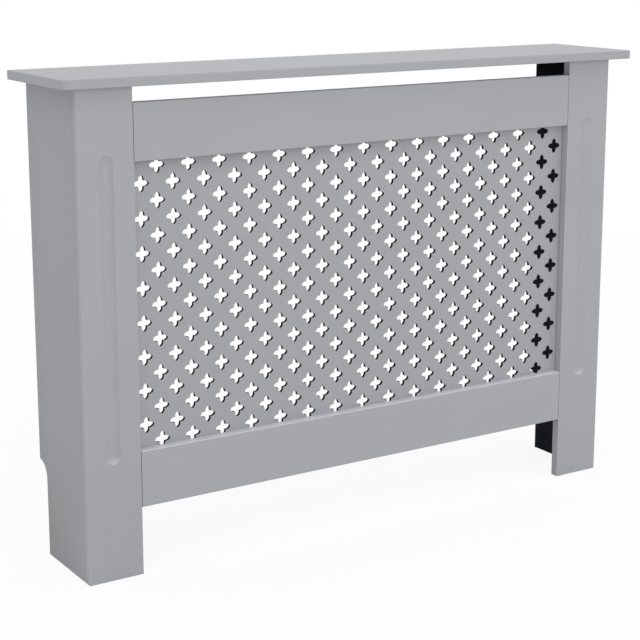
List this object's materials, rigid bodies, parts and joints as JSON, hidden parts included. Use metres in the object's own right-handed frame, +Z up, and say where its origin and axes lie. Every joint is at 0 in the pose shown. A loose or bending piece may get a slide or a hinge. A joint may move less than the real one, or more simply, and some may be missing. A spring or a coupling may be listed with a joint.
{
  "type": "radiator cover",
  "caption": "Free-standing painted cover for a wall radiator: shelf top, fluted front posts, notched end boards, two rails and a pierced grille with cross-shaped holes.",
  "frame": {"origin": "on the floor, in the middle of the whole cover's width and depth, the shelf's overhang included", "axes": "+X along the width, to the right of someone facing the cover; +Y from the room towards the wall; +Z up"},
  "size_m": [1.14, 0.218, 0.815],
  "materials": {
    "shelf_paint": "satin light grey paint on fibreboard",
    "body_paint": "satin light grey paint on fibreboard",
    "end_board": "satin light grey paint outside, black inside",
    "grille_board": "satin light grey paint, black in the holes and behind",
    "batten_wood": "matt black stain on softwood",
    "dowel_beech": "bare beech",
    "bracket_zinc": "zinc plated sheet",
    "screw_zinc": "zinc plated",
    "cam_zinc": "as-cast zinc alloy"
  },
  "bodies": {
    "root": {"bottom_rail": "body_paint", "bottom_rail_cam_bolts": "screw_zinc", "bottom_rail_cam_discs": "cam_zinc", "bottom_rail_dowels": "dowel_beech", "grille_panel": "grille_board", "grille_screws": "screw_zinc", "left_batten_screws": "screw_zinc", "left_corner_batten": "batten_wood", "left_post": "body_paint", "left_side_panel": "end_board", "left_wall_bracket": "bracket_zinc", "leg_dowels": "dowel_beech", "right_batten_screws": "screw_zinc", "right_corner_batten": "batten_wood", "right_post": "body_paint", "right_side_panel": "end_board", "right_wall_bracket": "bracket_zinc", "shelf_cam_bolts": "screw_zinc", "shelf_cam_discs": "cam_zinc", "shelf_dowels": "dowel_beech", "top_rail": "body_paint", "top_rail_cam_bolts": "screw_zinc", "top_rail_cam_discs": "cam_zinc", "top_rail_dowels": "dowel_beech", "top_shelf": "shelf_paint", "wall_bracket_screws": "screw_zinc"}
  },
  "joints": []
}
